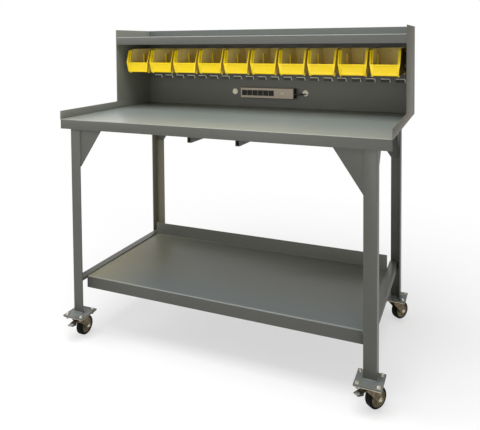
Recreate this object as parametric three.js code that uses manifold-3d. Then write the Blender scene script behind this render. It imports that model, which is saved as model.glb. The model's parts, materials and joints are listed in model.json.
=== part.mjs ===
// A welded steel workbench that rolls on four swivel casters. Sheet worktop with a front apron,
// angle legs with corner gussets, a lower shelf between two angle rails, and a riser with a
// louvred back panel that carries ten hanging bins, a power strip and two cable bushings.
// Lengths are millimetres. X runs along the bench, Y from its front to its back, Z up.

import * as THREE from 'three';
import { mergeVertices } from 'three/addons/utils/BufferGeometryUtils.js';
import Module from 'manifold-3d';

const wasm = await Module();
wasm.setup();

// Main sizes of the bench
const benchWidth = 1524;
const benchDepth = 762;
const worktopHeight = 1031;
const riserRise = 425;
const riserDepth = 326;
const sheet = 2.75;
const angleWall = 4.75;
const overrun = 20;

// Worktop and side plates
const apronHeight = 45;
const bendRadius = 5;
const stopHeight = 38;
const riserCornerRadius = 6;

// Riser shelf and louvred back panel
const riserShelfDrop = 39;
const riserLip = 41;
const louvreMargin = 20;
const louvrePitch = 73.25;
const louvreRowPitch = 76.25;
const louvreTopDrop = 106;
const louvreWidth = 46;
const louvreDrop = 18;
const louvreReach = 8;
const louvreWall = 1.75;
const louvreFoot = 4;

// Legs and gussets
const legSize = 51;
const legInset = 57;
const rearLegInset = 24;
const gussetReach = 140;
const gussetDrop = 216;
const sideGussetReach = 112;
const sideGussetDrop = 157;
const gussetBlunt = 8;

// Channels welded under the worktop
const channelWidth = 19;
const channelDrop = 68;
const channelFront = 13;
const channelBackInset = 62;
const channelPlaces = [-81, 142];

// Lower shelf and its rails
const shelfHeight = 286;
const shelfFront = 35;
const shelfBackInset = 120;
const shelfLip = 53;
const shelfBackLip = 66;
const shelfNotch = 9;
const railInset = 17;
const railSize = 38;
const railClearance = 0.25;

// Leg plates and caster top plates
const legPlateSize = 107;
const legPlateThickness = 6;
const legPlateInward = 1.5;
const legPlateOutward = 17;
const casterHeight = 112;
const casterPlateSize = 101.5;
const casterPlateThickness = 4;
const raceRadius = 31;
const raceDepth = 7;
const swivelGap = 0.5;
const plateHoleSpacing = 79;
const plateHoleRadius = 4.25;

// Forks, wheels and brake pedals
const casterTurn = THREE.MathUtils.degToRad(53);
const frontLeftTurn = THREE.MathUtils.degToRad(90);
const casterTrail = 30;
const wheelRadius = 43;
const wheelHalfWidth = 16;
const wheelShoulder = 4;
const hubRadius = 13;
const hubHalfWidth = 17.5;
const webHalfWidth = 13;
const rimInnerRadius = 33;
const boreRadius = 5.25;
const axleRadius = 4.75;
const axleHoleRadius = 5;
const axleEnd = 26;
const nutRadius = 8;
const nutHeight = 4;
const forkInner = 18.5;
const forkWall = 3.25;
const forkCrown = 4;
const forkFront = 30;
const forkRear = 31;
const forkFrontDrop = 10.5;
const forkBoss = 15;
const pedalPivotBack = 15;
const pedalPivotHeight = 86;
const pedalHalfWidth = 13.5;
const pedalReach = 70;
const pedalThickness = 3;
const pedalPad = 7;
const pedalDip = 6;
const pedalTabDrop = 13;
const pedalKnee = 40;
const pedalPinRadius = 3;
const pedalPinClearance = 0.25;
const pedalPinEnd = 23.5;
const wheelSegments = 36;
const smallSegments = 16;

// Hanging bins
const binLouvres = 2;
const binHalfTop = 62;
const binHalfBottom = 57;
const binLength = 270.25;
const binHeight = 125;
const binRise = 3;
const binFrontLean = 7;
const binLipHeight = 52;
const binHopper = 24;
const binShoulderDrop = 9;
const binShoulderLength = 40;
const binMouthFloor = 3;
const binMouthLip = 8;
const binMouthTop = 7.5;
const binMouthEdge = 3;
const binFlare = 15;
const binWall = 2.25;
const binFloor = 2.5;
const binRimWidth = 3;
const binRimDrop = 6;
const binBackGap = 1;
const binRibHalf = 3;
const binRibDepth = 5;
const binRibMargin = 12;
const binPanelMargin = 9;
const binPanelDepth = 1;
const binFoot = 6;
const binFootRise = 10;
const binFootLength = 8;
const binFootSpread = 5;
const binFootPlace = 24;
const hookHalfWidth = 15;
const hookWall = 2;
const hookBridge = 2.5;
const hookDrop = 8;
const hookGap = 4;

// Power strip, switch, lead and bushings
const stripHalfLength = 150;
const stripCentre = 2;
const stripHalfHeight = 26;
const stripDepth = 43;
const stripWall = 1.5;
const stripLift = 80;
const socketCount = 6;
const socketPitch = 31;
const socketMargin = 6.5;
const socketHalfHeight = 15.5;
const socketInsertDepth = 12;
const socketProud = 0.5;
const socketFit = 0.25;
const socketBorder = 1;
const socketRecess = 1.5;
const slotHalfWidth = 1;
const slotHalfHeight = 3.5;
const slotSpread = 6.25;
const slotDepth = 6;
const slotLift = 3;
const groundRadius = 2.5;
const groundDrop = 6;
const switchPlace = 240;
const switchHalfWidth = 10;
const switchHalfHeight = 6.5;
const switchDepth = 10;
const switchProud = 2.5;
const switchGap = 0.75;
const switchTilt = THREE.MathUtils.degToRad(6);
const leadRadius = 4;
const leadHoleRadius = 4.5;
const leadInset = 31.25;
const leadStraight = 24;
const leadBend = 32;
const leadDrop = 4;
const reliefRadius = 6.5;
const reliefLength = 20;
const bushingPlaces = [-200, 207.5];
const bushingLift = 81;
const bushingRadius = 16;
const bushingFace = 3;
const bushingStem = 12.5;
const bushingHole = 12.75;
const bushingDish = 10;
const bushingDishDepth = 1.5;
const bushingChamfer = 1;
const bushingBore = 5;
const roundSegments = 28;

// Finishes
const paint = new THREE.MeshStandardMaterial({ color: 0x6d6e69, roughness: 0.55, metalness: 0.1 });
const darkPaint = new THREE.MeshStandardMaterial({ color: 0x55564f, roughness: 0.6, metalness: 0.1 });
const yellowPlastic = new THREE.MeshStandardMaterial({ color: 0xf2cf1d, roughness: 0.4 });
const plating = new THREE.MeshStandardMaterial({ color: 0x8a7a5c, roughness: 0.45, metalness: 0.8 });
const brightPlating = new THREE.MeshStandardMaterial({ color: 0xc9c7b8, roughness: 0.35, metalness: 0.9 });
const blackRubber = new THREE.MeshStandardMaterial({ color: 0x1c1c1b, roughness: 0.7 });
const blackPlastic = new THREE.MeshStandardMaterial({ color: 0x202024, roughness: 0.5 });
const beigePaint = new THREE.MeshStandardMaterial({ color: 0xa39784, roughness: 0.55 });
const creamPlastic = new THREE.MeshStandardMaterial({ color: 0xd3d1bd, roughness: 0.5 });

const bench = new THREE.Group();
bench.name = 'mobile_workbench';

function piece(name, geometry, material) {
  const mesh = new THREE.Mesh(geometry, material);
  mesh.name = name;
  bench.add(mesh);
}

// Turns a closed surface into a solid that can be joined or cut
function solid(geometry) {
  const plain = new THREE.BufferGeometry();
  plain.setAttribute('position', geometry.getAttribute('position').clone());
  if (geometry.index) plain.setIndex(geometry.index.clone());
  const merged = mergeVertices(plain);
  return new wasm.Manifold(new wasm.Mesh({
    numProp: 3,
    vertProperties: new Float32Array(merged.getAttribute('position').array),
    triVerts: new Uint32Array(merged.index.array),
  }));
}

// Turns a solid back into a surface
function surface(body) {
  const mesh = body.getMesh();
  const geometry = new THREE.BufferGeometry();
  geometry.setAttribute('position', new THREE.BufferAttribute(new Float32Array(mesh.vertProperties), 3));
  geometry.setIndex(new THREE.BufferAttribute(new Uint32Array(mesh.triVerts), 1));
  const flat = geometry.toNonIndexed();
  flat.computeVertexNormals();
  return flat;
}

function joined(geometries) {
  return geometries.map(solid).reduce((sum, next) => sum.add(next));
}

function cut(body, geometries) {
  return geometries.map(solid).reduce((rest, tool) => rest.subtract(tool), body);
}

function shapeOf(points) {
  return new THREE.Shape(points.map(([a, b]) => new THREE.Vector2(a, b)));
}

// Outline given as Z against Y, carried along X
function alongX(points, from, to) {
  const geometry = new THREE.ExtrudeGeometry(shapeOf(points), { depth: to - from, bevelEnabled: false });
  const turn = new THREE.Matrix4().makeBasis(
    new THREE.Vector3(0, 1, 0), new THREE.Vector3(0, 0, 1), new THREE.Vector3(1, 0, 0));
  return geometry.applyMatrix4(turn).translate(from, 0, 0);
}

// Outline given as Z against X, carried along Y
function alongY(points, from, to, holes = []) {
  const shape = shapeOf(points);
  for (const [a, b, radius] of holes) {
    shape.holes.push(new THREE.Path(ring(a, b, radius)));
  }
  const geometry = new THREE.ExtrudeGeometry(shape, { depth: to - from, bevelEnabled: false });
  return geometry.rotateX(Math.PI / 2).translate(0, to, 0);
}

// Outline given as Y against X, carried up Z
function alongZ(points, from, to, holes = []) {
  const shape = shapeOf(points);
  for (const [a, b, radius] of holes) {
    shape.holes.push(new THREE.Path(ring(a, b, radius)));
  }
  const geometry = new THREE.ExtrudeGeometry(shape, { depth: to - from, bevelEnabled: false });
  return geometry.translate(0, 0, from);
}

function ring(a, b, radius) {
  return arc(a, b, radius, 0, 2 * Math.PI, smallSegments)
    .slice(0, -1)
    .map(([u, v]) => new THREE.Vector2(u, v));
}

function arc(a, b, radius, start, end, steps) {
  const points = [];
  for (let step = 0; step <= steps; step += 1) {
    const angle = start + (end - start) * step / steps;
    points.push([a + radius * Math.cos(angle), b + radius * Math.sin(angle)]);
  }
  return points;
}

function box(x0, x1, y0, y1, z0, z1) {
  return alongZ([[x0, y0], [x1, y0], [x1, y1], [x0, y1]], z0, z1);
}

// A cylinder whose axis runs along Y
function rod(x, z, radius, from, to, segments) {
  const geometry = new THREE.CylinderGeometry(radius, radius, to - from, segments);
  return geometry.translate(x, (from + to) / 2, z);
}

// The worktop is one sheet between the side plates, with its front edge bent down
const halfWidth = benchWidth / 2;
const insideHalf = halfWidth - sheet;
const panelFace = benchDepth - sheet;
const topUnderside = worktopHeight - sheet;
const riserHeight = worktopHeight + riserRise;
const riserFront = benchDepth - riserDepth;
const riserShelfHeight = riserHeight - riserShelfDrop;
const bendSteps = 5;

function bentEdge(front, top, radius) {
  const outer = arc(front + radius, top - radius, radius, Math.PI / 2, Math.PI, bendSteps);
  const inner = arc(front + radius, top - radius, radius - sheet, Math.PI, Math.PI / 2, bendSteps);
  return { outer, inner };
}

const worktopBend = bentEdge(0, worktopHeight, bendRadius);
const worktopOutline = [
  [panelFace, worktopHeight],
  ...worktopBend.outer,
  [0, worktopHeight - apronHeight],
  [sheet, worktopHeight - apronHeight],
  ...worktopBend.inner,
  [panelFace, topUnderside],
];
piece('worktop', alongX(worktopOutline, -insideHalf, insideHalf), paint);

// Each side plate is a low stop along the worktop that steps up into the riser's end
const sidePlateOutline = [
  [0, topUnderside],
  [0, worktopHeight + stopHeight],
  ...arc(riserFront - riserCornerRadius, worktopHeight + stopHeight + riserCornerRadius,
    riserCornerRadius, -Math.PI / 2, 0, bendSteps),
  [riserFront, riserHeight],
  [panelFace, riserHeight],
  [panelFace, topUnderside],
];
piece('side_plate_left', alongX(sidePlateOutline, -halfWidth, -insideHalf), paint);
piece('side_plate_right', alongX(sidePlateOutline, insideHalf, halfWidth), paint);

// The back panel is pressed with rows of louvres that stand open at their top edge
function louvreOutline(top) {
  return [
    [panelFace, top - louvreDrop],
    [panelFace - louvreReach, top],
    [panelFace + sheet, top],
    [panelFace + sheet, top - louvreDrop],
  ];
}

function louvreMouthOutline(top) {
  const footReach = louvreReach * louvreFoot / louvreDrop;
  return [
    [panelFace - louvreReach + louvreWall, top],
    [panelFace - louvreReach + louvreWall, top + overrun],
    [panelFace, top + overrun],
    [panelFace, top],
    [panelFace + sheet + overrun, top],
    [panelFace + sheet + overrun, top - louvreDrop + louvreFoot],
    [panelFace - footReach + louvreWall, top - louvreDrop + louvreFoot],
  ];
}

const stripHeight = worktopHeight + stripLift;
const louvreTopHeight = riserHeight - louvreTopDrop;
const louvreSpace = louvreTopHeight - louvreDrop - stripHeight - stripHalfHeight - louvreMargin;
const louvreRows = 1 + Math.floor(louvreSpace / louvreRowPitch);
const binCount = Math.floor((benchWidth - 2 * louvreMargin) / (binLouvres * louvrePitch));
const louvreColumns = binCount * binLouvres;
const louvres = [];
const louvreMouths = [];
for (let row = 0; row < louvreRows; row += 1) {
  const top = louvreTopHeight - row * louvreRowPitch;
  for (let column = 0; column < louvreColumns; column += 1) {
    const middle = (column - (louvreColumns - 1) / 2) * louvrePitch;
    const left = middle - louvreWidth / 2;
    const right = middle + louvreWidth / 2;
    louvres.push(alongX(louvreOutline(top), left, right));
    louvreMouths.push(alongX(louvreMouthOutline(top), left + louvreWall, right - louvreWall));
  }
}
const bushingHeight = worktopHeight + bushingLift;
const bushingHoles = bushingPlaces.map(
  (place) => rod(place, bushingHeight, bushingHole, panelFace - overrun, benchDepth + overrun, roundSegments));
const panelSheet = box(-halfWidth, halfWidth, panelFace, benchDepth, topUnderside, riserHeight);
const backPanel = cut(joined([panelSheet, ...louvres]), [...louvreMouths, ...bushingHoles]);
piece('riser_back_panel', surface(backPanel), darkPaint);

// The riser shelf is a sheet with a lip bent down along its front
const riserBend = bentEdge(riserFront, riserShelfHeight, bendRadius);
const riserShelfOutline = [
  [panelFace, riserShelfHeight],
  ...riserBend.outer,
  [riserFront, riserShelfHeight - riserLip],
  [riserFront + sheet, riserShelfHeight - riserLip],
  ...riserBend.inner,
  [panelFace, riserShelfHeight - sheet],
];
piece('riser_shelf', alongX(riserShelfOutline, -insideHalf, insideHalf), paint);

// Four angle legs, corner outward, with a gusset in each of the two planes of every corner
const legOuter = halfWidth - legInset;
const legFoot = casterHeight + legPlateThickness;
const frontLegFace = bendRadius;
const rearLegFace = benchDepth - rearLegInset;
const corners = [
  { name: 'front_left', side: -1, face: frontLegFace, inward: 1, turn: frontLeftTurn },
  { name: 'front_right', side: 1, face: frontLegFace, inward: 1, turn: casterTurn },
  { name: 'rear_left', side: -1, face: rearLegFace, inward: -1, turn: casterTurn },
  { name: 'rear_right', side: 1, face: rearLegFace, inward: -1, turn: casterTurn },
];

for (const { name, side, face, inward } of corners) {
  const outer = side * legOuter;
  const legOutline = [
    [outer, face],
    [outer - side * legSize, face],
    [outer - side * legSize, face + inward * angleWall],
    [outer - side * angleWall, face + inward * angleWall],
    [outer - side * angleWall, face + inward * legSize],
    [outer, face + inward * legSize],
  ];
  piece(`leg_${name}`, alongZ(legOutline, legFoot, topUnderside), paint);

  const legInner = outer - side * legSize;
  const flangeInside = outer - side * angleWall;
  const gussetOutline = [
    [flangeInside, topUnderside],
    [legInner - side * gussetReach, topUnderside],
    [legInner - side * gussetReach, topUnderside - gussetBlunt],
    [legInner, topUnderside - gussetDrop],
    [flangeInside, topUnderside - gussetDrop],
  ];
  const gussetNear = face + inward * angleWall;
  const gussetFar = face + inward * 2 * angleWall;
  piece(`gusset_${name}`,
    alongY(gussetOutline, Math.min(gussetNear, gussetFar), Math.max(gussetNear, gussetFar)), paint);

  const sideGussetOutline = [
    [gussetFar, topUnderside],
    [face + inward * (legSize + sideGussetReach), topUnderside],
    [face + inward * (legSize + sideGussetReach), topUnderside - gussetBlunt],
    [face + inward * legSize, topUnderside - sideGussetDrop],
    [gussetFar, topUnderside - sideGussetDrop],
  ];
  const sideGussetInside = outer - side * 2 * angleWall;
  piece(`side_gusset_${name}`,
    alongX(sideGussetOutline, Math.min(flangeInside, sideGussetInside),
      Math.max(flangeInside, sideGussetInside)), paint);
}

// Two channels run from front to back under the worktop
channelPlaces.forEach((place, index) => {
  const left = place - channelWidth / 2;
  const right = place + channelWidth / 2;
  const bottom = topUnderside - channelDrop;
  const outline = [
    [left, topUnderside],
    [left, bottom],
    [right, bottom],
    [right, topUnderside],
    [right - sheet, topUnderside],
    [right - sheet, bottom + sheet],
    [left + sheet, bottom + sheet],
    [left + sheet, topUnderside],
  ];
  const backEnd = benchDepth - channelBackInset;
  piece(`under_top_channel_${index + 1}`, alongY(outline, channelFront, backEnd), paint);
});

// The lower shelf is a pan: front edge bent down, back edge bent up, ends under the rails
const shelfUnderside = shelfHeight - sheet;
const shelfBack = benchDepth - shelfBackInset;
const railOuter = legOuter - railInset;
const shelfBend = bentEdge(shelfFront, shelfHeight, bendRadius);
const shelfBackOuter = arc(shelfBack - bendRadius, shelfUnderside + bendRadius, bendRadius,
  -Math.PI / 2, 0, bendSteps);
const shelfBackInner = arc(shelfBack - bendRadius, shelfUnderside + bendRadius, bendRadius - sheet,
  0, -Math.PI / 2, bendSteps);
const shelfOutline = [
  ...shelfBend.outer,
  [shelfFront, shelfHeight - shelfLip],
  [shelfFront + sheet, shelfHeight - shelfLip],
  ...shelfBend.inner,
  ...shelfBackOuter,
  [shelfBack, shelfHeight + shelfBackLip],
  [shelfBack - sheet, shelfHeight + shelfBackLip],
  ...shelfBackInner,
];
const shelfHalf = railOuter - railSize - railClearance;
const shelfEnd = railOuter - angleWall - railClearance;
const shelf = joined([
  alongX(shelfOutline, -shelfHalf, shelfHalf),
  box(-shelfEnd, shelfEnd, shelfFront + shelfNotch, shelfBack - shelfNotch, shelfUnderside, shelfHeight),
]);
piece('lower_shelf', surface(shelf), paint);

const railFrontEnd = frontLegFace + angleWall;
const railBackEnd = rearLegFace - angleWall;
for (const [name, side] of [['left', -1], ['right', 1]]) {
  const outer = side * railOuter;
  const railTop = shelfHeight + angleWall;
  const outline = [
    [outer, railTop],
    [outer - side * railSize, railTop],
    [outer - side * railSize, shelfHeight],
    [outer - side * angleWall, shelfHeight],
    [outer - side * angleWall, railTop - railSize],
    [outer, railTop - railSize],
  ];
  piece(`shelf_rail_${name}`, alongY(outline, railFrontEnd, railBackEnd), paint);
}

// Plates, casters and pedals. A caster is drawn with its trail along X and its axle along Y,
// then swivelled and set under its leg.
function squarePlate(size, x, y, z0, z1) {
  const half = size / 2;
  const spread = plateHoleSpacing / 2;
  const outline = [[x - half, y - half], [x + half, y - half], [x + half, y + half], [x - half, y + half]];
  const holes = [[x - spread, y - spread], [x + spread, y - spread],
    [x + spread, y + spread], [x - spread, y + spread]].map(([a, b]) => [a, b, plateHoleRadius]);
  return alongZ(outline, z0, z1, holes);
}

function casterFork(withPedal) {
  const crownTop = casterHeight - casterPlateThickness - raceDepth - swivelGap;
  const plateOutline = [
    [-forkFront, crownTop],
    [forkRear, crownTop],
    ...arc(casterTrail, wheelRadius, forkBoss, 0, -Math.PI, smallSegments / 2),
    [-forkFront, crownTop - forkFrontDrop],
  ];
  const holes = [[casterTrail, wheelRadius, axleHoleRadius]];
  if (withPedal) {
    holes.push([-pedalPivotBack, pedalPivotHeight, pedalPinRadius + pedalPinClearance]);
  }
  const crown = box(-forkFront, forkRear, -forkInner - forkWall, forkInner + forkWall,
    crownTop - forkCrown, crownTop);
  const crownDisc = alongZ(arc(0, 0, raceRadius, 0, 2 * Math.PI, roundSegments).slice(0, -1),
    crownTop - forkCrown, crownTop);
  return surface(joined([
    alongY(plateOutline, forkInner, forkInner + forkWall, holes),
    alongY(plateOutline, -forkInner - forkWall, -forkInner, holes),
    crown,
    crownDisc,
  ]));
}

function casterWheel() {
  const half = wheelHalfWidth;
  const profile = [
    [boreRadius, -hubHalfWidth],
    [hubRadius, -hubHalfWidth],
    [hubRadius, -webHalfWidth],
    [rimInnerRadius, -webHalfWidth],
    [rimInnerRadius, -half],
    [wheelRadius - wheelShoulder, -half],
    [wheelRadius, -half + wheelShoulder],
    [wheelRadius, half - wheelShoulder],
    [wheelRadius - wheelShoulder, half],
    [rimInnerRadius, half],
    [rimInnerRadius, webHalfWidth],
    [hubRadius, webHalfWidth],
    [hubRadius, hubHalfWidth],
    [boreRadius, hubHalfWidth],
    [boreRadius, -hubHalfWidth],
  ];
  const points = profile.map(([radius, y]) => new THREE.Vector2(radius, y));
  const geometry = new THREE.LatheGeometry(points, wheelSegments);
  return surface(solid(geometry.translate(casterTrail, 0, wheelRadius)));
}

function casterAxle() {
  const forkOuter = forkInner + forkWall;
  const hexagon = 6;
  return surface(joined([
    rod(casterTrail, wheelRadius, axleRadius, -axleEnd - nutHeight, axleEnd, smallSegments),
    rod(casterTrail, wheelRadius, nutRadius, forkOuter, forkOuter + nutHeight, hexagon),
    rod(casterTrail, wheelRadius, nutRadius, -forkOuter - nutHeight, -forkOuter, hexagon),
  ]));
}

function brakePedal() {
  const top = pedalPivotHeight + pedalThickness;
  const tabFront = -pedalPivotBack + pedalThickness / 2;
  const tabBack = tabFront + pedalThickness;
  const outline = [
    [tabBack, top],
    [-pedalKnee, top],
    [-pedalReach, top - pedalDip],
    [-pedalReach, top - pedalPad],
    [-pedalKnee - pedalThickness, top - pedalDip - pedalPad],
    [-pedalKnee, top - pedalThickness],
    [tabFront, top - pedalThickness],
    [tabFront, pedalPivotHeight - pedalTabDrop],
    [tabBack, pedalPivotHeight - pedalTabDrop],
  ];
  return surface(joined([
    alongY(outline, -pedalHalfWidth, pedalHalfWidth),
    rod(-pedalPivotBack, pedalPivotHeight, pedalPinRadius, -pedalPinEnd, pedalPinEnd, smallSegments),
  ]));
}

for (const { name, side, face, inward, turn } of corners) {
  const x = side * (legOuter - legSize / 2 - legPlateInward);
  const y = face + inward * (legSize / 2 - legPlateOutward);
  const front = inward > 0;
  const place = (geometry) => geometry.rotateZ(turn).translate(x, y, 0);
  piece(`leg_plate_${name}`, squarePlate(legPlateSize, x, y, casterHeight, legFoot), paint);

  const plateUnderside = casterHeight - casterPlateThickness;
  const race = alongZ(arc(x, y, raceRadius, 0, 2 * Math.PI, roundSegments).slice(0, -1),
    plateUnderside - raceDepth, plateUnderside);
  const topPlate = joined([squarePlate(casterPlateSize, x, y, plateUnderside, casterHeight), race]);
  piece(`caster_plate_${name}`, surface(topPlate), plating);
  piece(`caster_fork_${name}`, place(casterFork(front)), plating);
  piece(`caster_axle_${name}`, place(casterAxle()), brightPlating);
  piece(`caster_wheel_${name}`, place(casterWheel()), blackRubber);
  if (front) {
    piece(`brake_pedal_${name}`, place(brakePedal()), plating);
  }
}

// Bins hang on pairs of louvres. Each narrows toward its floor. Its mouth flares out to the sides,
// stands open above a low front and leans back.
const binTopHeight = louvreTopHeight + binRise;

// A solid through outlines of Y against X, one above the other, with as many points in each
function stacked(levels) {
  const positions = levels.flatMap(({ height, outline }) => outline.flatMap(([x, y]) => [x, y, height]));
  const count = levels[0].outline.length;
  const last = (levels.length - 1) * count;
  const cap = THREE.ShapeUtils.triangulateShape(
    levels[0].outline.map(([x, y]) => new THREE.Vector2(x, y)), []);
  const faces = cap.flatMap(([i, j, k]) => [i, k, j, last + i, last + j, last + k]);
  for (let level = 0; level < last; level += count) {
    for (let point = 0; point < count; point += 1) {
      const here = level + point;
      const next = level + (point + 1) % count;
      faces.push(here, next, next + count, here, next + count, here + count);
    }
  }
  const geometry = new THREE.BufferGeometry();
  geometry.setAttribute('position', new THREE.BufferAttribute(new Float32Array(positions), 3));
  geometry.setIndex(faces);
  return geometry;
}

function rectangle(half, front, back) {
  return [[-half, front], [half, front], [half, back], [-half, back]];
}

function hangingBin() {
  const back = panelFace - louvreReach - binBackGap;
  const front = back - binLength;
  const floor = binTopHeight - binHeight;
  const lip = floor + binLipHeight;
  const shoulder = binTopHeight - binShoulderDrop;
  const sidePerHeight = (binHalfTop - binHalfBottom) / binHeight;
  const halfAt = (height) => binHalfBottom + sidePerHeight * (height - floor);
  const mouthLevels = [
    { height: floor, start: front + binFrontLean, spread: binMouthFloor },
    { height: lip, start: front, spread: binMouthLip },
    { height: shoulder, start: front + binHopper, spread: binMouthTop },
    { height: binTopHeight, start: front + binHopper + binShoulderLength, spread: binRimWidth },
  ];

  const outside = stacked(mouthLevels.map(({ height, start, spread }) => {
    const half = halfAt(height);
    const wide = half + spread;
    const edge = start + binMouthEdge;
    return {
      height,
      outline: [
        [-wide, start], [wide, start], [wide, edge], [half, edge + binFlare],
        [half, back], [-half, back], [-half, edge + binFlare], [-wide, edge],
      ],
    };
  }));
  const rimBack = box(-binHalfTop - binRimWidth, binHalfTop + binRimWidth,
    front + binHopper + binShoulderLength, back, binTopHeight - binRimDrop, binTopHeight);

  const ceiling = binTopHeight + overrun;
  const cavityFloor = floor + binFloor;
  const cavity = stacked([
    { height: cavityFloor, outline: rectangle(halfAt(cavityFloor) - binWall,
      front + binFrontLean + binWall, back - binWall) },
    { height: lip, outline: rectangle(halfAt(lip) - binWall, front + binWall, back - binWall) },
    { height: ceiling, outline: rectangle(halfAt(ceiling) - binWall, front + binWall, back - binWall) },
  ]);
  const mouth = stacked([...mouthLevels.slice(1),
    { height: ceiling, start: front + binHopper + binShoulderLength, spread: binRimWidth },
  ].map(({ height, start, spread }) => {
    const half = halfAt(height) - binWall;
    const wide = halfAt(height) + spread - binMouthEdge;
    return {
      height,
      outline: [
        [-wide, front - overrun], [wide, front - overrun], [wide, start],
        [half, start + binFlare], [-half, start + binFlare], [-wide, start],
      ],
    };
  }));

  const panelLow = floor + binPanelMargin;
  const panelHigh = lip - binPanelMargin;
  const frontAt = (height) => front + binFrontLean * (lip - height) / binLipHeight;
  const labelPanel = alongX([
    [frontAt(panelLow) - overrun, panelLow],
    [frontAt(panelLow) + binPanelDepth, panelLow],
    [frontAt(panelHigh) + binPanelDepth, panelHigh],
    [frontAt(panelHigh) - overrun, panelHigh],
  ], -binHalfBottom + binPanelMargin, binHalfBottom - binPanelMargin);

  const rib = box(-binRibHalf, binRibHalf, back - binWall - binRibDepth, back - binWall / 2,
    floor + binFloor / 2, binTopHeight - binRibMargin);
  const footOuter = binHalfBottom + binFootSpread;
  const footInner = binHalfBottom - binWall;
  const feet = [-1, 1].flatMap((side) => [front + binFootPlace, back - binFootPlace].map((start) => box(
    Math.min(side * footInner, side * footOuter), Math.max(side * footInner, side * footOuter),
    start, start + binFootLength, floor - binFoot, floor + binFootRise)));

  const louvreInside = panelFace - louvreReach + louvreWall;
  const hooks = [-louvrePitch / 2, louvrePitch / 2].flatMap((middle) => [
    box(middle - hookHalfWidth, middle + hookHalfWidth, back - binWall, louvreInside + hookGap + hookWall,
      binTopHeight - hookBridge, binTopHeight),
    box(middle - hookHalfWidth, middle + hookHalfWidth, louvreInside + hookGap,
      louvreInside + hookGap + hookWall, binTopHeight - hookBridge - hookDrop, binTopHeight),
  ]);

  const shell = cut(joined([outside, rimBack, ...feet]), [cavity, mouth, labelPanel]);
  return shell.add(joined([rib, ...hooks]));
}

const binBody = hangingBin();
for (let index = 0; index < binCount; index += 1) {
  const x = (index - (binCount - 1) / 2) * binLouvres * louvrePitch;
  const number = String(index + 1).padStart(2, '0');
  piece(`bin_${number}`, surface(binBody).translate(x, 0, 0), yellowPlastic);
}

// The power strip is a folded cover, open toward the panel, with a row of sockets and a switch
const stripLeft = stripCentre - stripHalfLength;
const stripRight = stripCentre + stripHalfLength;
const stripFace = panelFace - stripDepth;
const leadBack = panelFace - leadInset;
const socketLeft = stripLeft + socketMargin;
const socketRight = socketLeft + socketCount * socketPitch;
const switchMiddle = stripLeft + switchPlace;
const leadHeight = stripHeight - leadDrop;

const cover = cut(
  solid(box(stripLeft, stripRight, stripFace, panelFace, stripHeight - stripHalfHeight,
    stripHeight + stripHalfHeight)),
  [
    box(stripLeft + stripWall, stripRight - stripWall, stripFace + stripWall, panelFace + overrun,
      stripHeight - stripHalfHeight + stripWall, stripHeight + stripHalfHeight - stripWall),
    box(socketLeft, socketRight, stripFace - overrun, stripFace + overrun,
      stripHeight - socketHalfHeight, stripHeight + socketHalfHeight),
    box(switchMiddle - switchHalfWidth - switchGap, switchMiddle + switchHalfWidth + switchGap,
      stripFace - overrun, stripFace + overrun,
      stripHeight - switchHalfHeight - switchGap, stripHeight + switchHalfHeight + switchGap),
    new THREE.CylinderGeometry(leadHoleRadius, leadHoleRadius, 2 * overrun, smallSegments)
      .rotateZ(Math.PI / 2).translate(stripRight, leadBack, leadHeight),
  ]);
piece('power_strip_cover', surface(cover), beigePaint);

const socketTools = [];
for (let index = 0; index < socketCount; index += 1) {
  const middle = socketLeft + (index + 1 / 2) * socketPitch;
  const half = socketPitch / 2 - socketBorder;
  const front = stripFace - socketProud;
  const recess = front + socketRecess;
  socketTools.push(box(middle - half, middle + half, front - overrun, recess,
    stripHeight - socketHalfHeight + socketBorder, stripHeight + socketHalfHeight - socketBorder));
  for (const offset of [-slotSpread, slotSpread]) {
    socketTools.push(box(middle + offset - slotHalfWidth, middle + offset + slotHalfWidth,
      front, recess + slotDepth,
      stripHeight + slotLift - slotHalfHeight, stripHeight + slotLift + slotHalfHeight));
  }
  socketTools.push(rod(middle, stripHeight - groundDrop, groundRadius, front, recess + slotDepth,
    smallSegments));
}
const socketBar = cut(
  solid(box(socketLeft + socketFit, socketRight - socketFit, stripFace - socketProud,
    stripFace + socketInsertDepth, stripHeight - socketHalfHeight + socketFit,
    stripHeight + socketHalfHeight - socketFit)),
  socketTools);
piece('socket_bar', surface(socketBar), blackPlastic);

const rockerOutline = [
  [-switchHalfWidth, -switchProud],
  [0, -switchProud / 2],
  [switchHalfWidth, -switchProud],
  [switchHalfWidth - switchProud, switchDepth],
  [-switchHalfWidth + switchProud, switchDepth],
];
const rocker = alongZ(rockerOutline, -switchHalfHeight, switchHalfHeight);
piece('switch_rocker', rocker.rotateZ(switchTilt)
  .translate(switchMiddle, stripFace, stripHeight), creamPlastic);

// The lead leaves the strip through a tapered relief and bends back into the right-hand bushing
const leadStart = stripRight - stripWall;
const leadPoints = [
  new THREE.Vector3(leadStart, leadBack, leadHeight),
  new THREE.Vector3(leadStart + leadStraight / 2, leadBack, leadHeight),
];
for (const [x, y] of arc(leadStart + leadStraight, leadBack + leadBend, leadBend, -Math.PI / 2, 0,
  smallSegments / 2)) {
  leadPoints.push(new THREE.Vector3(x, y, leadHeight));
}
const leadRound = new THREE.Shape(ring(0, 0, leadRadius));
const leadPath = new THREE.CatmullRomCurve3(leadPoints);
const leadTube = new THREE.ExtrudeGeometry(leadRound, { steps: roundSegments, extrudePath: leadPath });
const relief = new THREE.CylinderGeometry(leadRadius, reliefRadius, reliefLength, smallSegments)
  .rotateZ(-Math.PI / 2).translate(stripRight + reliefLength / 2, leadBack, leadHeight);
piece('strip_lead', surface(joined([leadTube, relief])), blackPlastic);

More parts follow.
